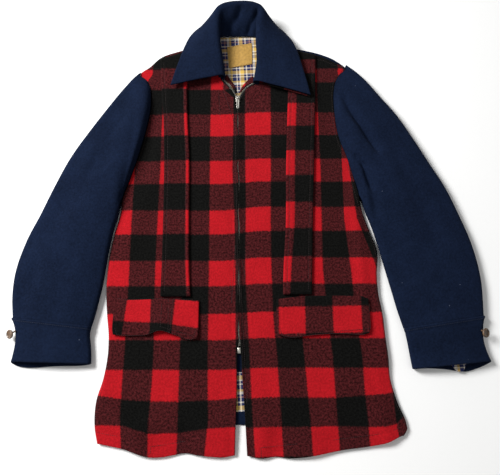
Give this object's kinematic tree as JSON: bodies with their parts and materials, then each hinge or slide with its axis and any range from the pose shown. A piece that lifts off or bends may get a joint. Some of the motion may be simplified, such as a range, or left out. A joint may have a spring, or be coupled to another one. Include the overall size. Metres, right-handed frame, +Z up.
{
  "type": "norfolk jacket",
  "caption": "Wool Norfolk jacket laid flat: check fronts with sewn-on straps and flap pockets, navy sleeves, back and collar, centre zip, plaid lining at the neck.",
  "frame": {"origin": "centre of the jacket's outline on the surface that it lies on", "axes": "+Z up from the surface, +Y towards the collar, +X towards the wearer's left sleeve"},
  "size_m": [0.8788, 0.8948, 0.0503],
  "materials": {
    "navy_melton": "napped wool melton",
    "check_mackinaw": "napped wool in a red and black buffalo check",
    "plaid_flannel": "soft wool plaid flannel",
    "label_cloth": "smooth woven tape",
    "zip_tape": "woven cotton tape",
    "zip_metal": "worn nickel silver",
    "horn": "satin horn"
  },
  "bodies": {
    "jacket": {"back": "navy_melton", "right_front": "check_mackinaw", "left_front": "check_mackinaw", "right_strap": "check_mackinaw", "left_strap": "check_mackinaw", "right_flap": "check_mackinaw", "left_flap": "check_mackinaw", "right_top_sleeve": "navy_melton", "right_under_sleeve": "navy_melton", "left_top_sleeve": "navy_melton", "left_under_sleeve": "navy_melton", "right_cuff": "navy_melton", "left_cuff": "navy_melton", "collar": "navy_melton", "under_collar": "check_mackinaw", "right_facing": "check_mackinaw", "left_facing": "check_mackinaw", "neck_lining": "plaid_flannel", "hem_lining": "plaid_flannel", "cuff_lining": "plaid_flannel", "neck_label": "label_cloth", "right_zip_tape": "zip_tape", "left_zip_tape": "zip_tape", "right_zip_chain": "zip_metal", "left_zip_chain": "zip_metal", "zip_slider": "zip_metal", "zip_stop": "zip_metal", "right_button": "horn", "left_button": "horn"},
    "pull_tab": {"zip_pull_tab": "zip_metal"}
  },
  "joints": [
    {"name": "pull_tab_hinge", "type": "hinge", "parent": "jacket", "child": "pull_tab", "pos_m": [-0.0248, 0.245, 0.0137], "axis": [-1, 0, 0], "range_deg": [0, 170]}
  ]
}
